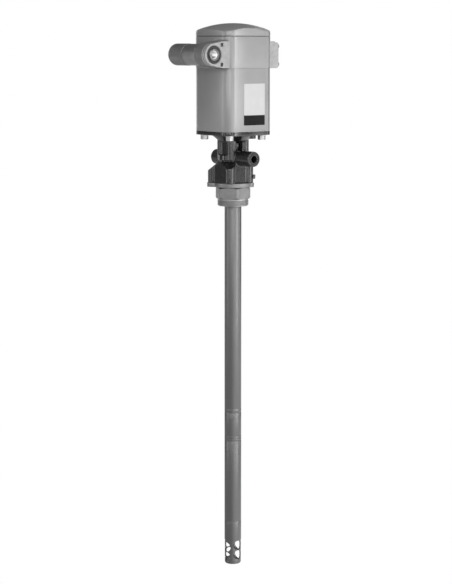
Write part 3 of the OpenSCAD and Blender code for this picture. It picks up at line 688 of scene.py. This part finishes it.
def plate(name, x0, x1, z0, z1, material):
    """A thin plate with rounded corners that follows the shroud's crowned wall."""
    thick, sunk, corner, corner_steps, spacing = 0.25, 0.05, 1.2, 4, 3
    outline = []
    for cx, cz, start in ((x1 - corner, z0 + corner, -90), (x1 - corner, z1 - corner, 0),
                          (x0 + corner, z1 - corner, 90), (x0 + corner, z0 + corner, 180)):
        for k in range(corner_steps + 1):
            a = math.radians(start + 90 * k / corner_steps)
            outline.append((cx + corner * math.cos(a), cz + corner * math.sin(a)))
    dense = []
    for (px, pz), (qx, qz) in zip(outline, outline[1:] + outline[:1]):
        steps = max(1, int(abs(qx - px) / spacing))
        dense += [(px + (qx - px) * k / steps, pz + (qz - pz) * k / steps) for k in range(steps)]

    def skin(out):
        """Vertices of the outline on the wall, moved out from it."""
        wall = [-(math.sqrt((CROWN + out) ** 2 - x * x) - (CROWN - HALF)) for x, z in dense]
        return [bm.verts.new(Vector((x, y, z)) * MM) for (x, z), y in zip(dense, wall)]

    bm = bmesh.new()
    front, back = skin(thick), skin(-sunk)
    bm.faces.new(front)
    bm.faces.new(back[::-1])
    for j in range(len(dense)):
        k = (j + 1) % len(dense)
        bm.faces.new((front[j], back[j], back[k], front[k]))
    bmesh.ops.triangulate(bm, faces=[f for f in bm.faces if len(f.verts) > 4])
    new_piece(name, finished(bm, name), material, "root", "paint")


plate("blank_plate_panel", -18.2, 32, 160.2, 219, plate_print())
plate("blank_plate_band", -18.6, 32, 141.3, 159.8, plate_band())


# Floor, light and camera

# The world's strength as soft light, then what glossy rays see of the world and, left to right, of the floor
SKY, SKY_GLOSS, FLOOR_GLOSS = 0.06, 0.16, (0.45, 1.0)
# Half of the floor's side and the floor's drop under the object, in metres
FLOOR_HALF, FLOOR_DROP = 4.0, 0.0005

# Strips of light round the object: azimuth and elevation in degrees, height in metres, power in watts
STRIPS = (
    (-120, 5, 1.6, 5.4), (-95, 5, 1.6, 2.9), (-65, 10, 1.2, 5), (-38, 10, 1.2, 6.5), (-10, 0, 2.2, 8),
    (20, 0, 2.2, 16.5), (45, 5, 1.6, 3), (65, 5, 1.6, 5), (130, 5, 1.6, 4), (180, 5, 1.6, 4),
)
# In metres: width of the strips, size of the soft boxes, the place that lamps aim at and their distance
STRIP_W, SOFT_BOX, LAMP_TARGET, LAMP_DISTANCE = 0.45, (1.1, 1.0), (0, 0, 0.1), 2.2

# Camera fitted to the photograph, in pixels: picture size, camera's distance and shift, the axis's place
PHOTO_W, PHOTO_H = 452, 584
CAM_DEPTH_PX, CAM_SHIFT_PX, CAM_AXIS_X = 1800.0, 68.0, 233.0
# Millimetres to a pixel and the camera's height in millimetres, then its pitch and azimuth
CAM_PX_MM, CAM_Z = 1.8977, 299.9
CAM_PITCH, CAM_AZIMUTH = math.radians(5.831), math.radians(-38)
SENSOR_MM = 36.0


def seen(tree, gloss):
    """White to camera and transmission rays, and gloss, a studio wall's paler tone, to glossy ones."""
    path = tree.nodes.new("ShaderNodeLightPath")
    direct = calc(tree, "MAXIMUM", path.outputs["Is Camera Ray"], path.outputs["Is Transmission Ray"])
    return calc(tree, "MAXIMUM", direct, calc(tree, "MULTIPLY", path.outputs["Is Glossy Ray"], gloss))


def to_the_right(tree, lo, hi):
    """A value that grows from lo, left of the object, to hi, right of it, as the camera stands."""
    flat = tree.nodes.new("ShaderNodeVectorMath")
    flat.operation = "NORMALIZE"
    tree.links.new(coords(tree, (1, 1, 0)), flat.inputs[0])
    dot = tree.nodes.new("ShaderNodeVectorMath")
    dot.operation = "DOT_PRODUCT"
    tree.links.new(flat.outputs["Vector"], dot.inputs[0])
    dot.inputs[1].default_value = (math.cos(CAM_AZIMUTH), math.sin(CAM_AZIMUTH), 0)
    return spread(tree, dot.outputs["Value"], lo, hi, -0.4, 0.5)


def floor():
    """A floor that is light to camera and glossy rays, and a matt surface to all others."""
    z = cad_lo.z - FLOOR_DROP
    mesh = bpy.data.meshes.new("floor")
    corners = [(x * FLOOR_HALF, y * FLOOR_HALF, z) for x, y in ((-1, -1), (1, -1), (1, 1), (-1, 1))]
    mesh.from_pydata(corners, [], [(0, 1, 2, 3)])
    obj = linked("floor", mesh)
    material, tree, bsdf = shader("floor", grey(0.8), 0.9, 0, 0.2)
    mottled(tree, bsdf, noise(tree, coords(tree), 3), grey(0.78), grey(0.82))
    white = tree.nodes.new("ShaderNodeEmission")
    white.inputs["Color"].default_value = (1, 1, 1, 1)
    tree.links.new(seen(tree, to_the_right(tree, *FLOOR_GLOSS)), white.inputs["Strength"])
    path = tree.nodes.new("ShaderNodeLightPath")
    mix = tree.nodes.new("ShaderNodeMixShader")
    lit = calc(tree, "MAXIMUM", path.outputs["Is Camera Ray"], path.outputs["Is Glossy Ray"])
    tree.links.new(lit, mix.inputs["Fac"])
    tree.links.new(bsdf.outputs["BSDF"], mix.inputs[1])
    tree.links.new(white.outputs["Emission"], mix.inputs[2])
    tree.links.new(mix.outputs["Shader"], tree.nodes["Material Output"].inputs["Surface"])
    mesh.materials.append(material)


def world():
    studio = bpy.data.worlds.new("studio")
    bpy.context.scene.world = studio
    studio.use_nodes = True
    tree = studio.node_tree
    background = tree.nodes["Background"]
    background.inputs["Color"].default_value = (1, 1, 1, 1)
    tree.links.new(calc(tree, "MAXIMUM", seen(tree, SKY_GLOSS), SKY), background.inputs["Strength"])


def lamp(name, azimuth, elevation, size, power):
    """An area light at an azimuth and elevation in degrees, size in metres and power in watts."""
    a, e = math.radians(azimuth), math.radians(elevation)
    away = Vector((math.sin(a) * math.cos(e), -math.cos(a) * math.cos(e), math.sin(e)))
    light = bpy.data.lights.new(name, "AREA")
    light.shape = "RECTANGLE"
    light.size, light.size_y = size
    light.energy = power
    obj = linked(name, light)
    obj.location = Vector(LAMP_TARGET) + away * LAMP_DISTANCE
    obj.rotation_euler = away.to_track_quat("Z", "Y").to_euler()


def camera():
    cam = bpy.data.cameras.new("camera")
    cam.sensor_width = SENSOR_MM
    cam.lens = CAM_DEPTH_PX / PHOTO_H * SENSOR_MM
    cam.shift_y = -CAM_SHIFT_PX / PHOTO_H
    cam.clip_end = 50
    obj = linked("camera", cam)
    back = Vector((math.sin(CAM_AZIMUTH), -math.cos(CAM_AZIMUTH), 0))
    right = Vector((math.cos(CAM_AZIMUTH), math.sin(CAM_AZIMUTH), 0))
    side = (PHOTO_W / 2 - CAM_AXIS_X) * CAM_PX_MM
    obj.location = (back * CAM_DEPTH_PX * CAM_PX_MM + Vector((0, 0, CAM_Z)) + right * side) * MM
    look = Vector((-back.x * math.cos(CAM_PITCH), -back.y * math.cos(CAM_PITCH), -math.sin(CAM_PITCH)))
    obj.rotation_euler = look.to_track_quat("-Z", "Y").to_euler()
    bpy.context.scene.camera = obj


floor()
world()
for azimuth, elevation, height, power in STRIPS:
    lamp("strip%d" % azimuth, azimuth, elevation, (STRIP_W, height), power)
lamp("top_right", 35, 48, SOFT_BOX, 11)
lamp("top_left", -45, 48, SOFT_BOX, 7)
camera()
bpy.context.scene.view_settings.view_transform = "Standard"
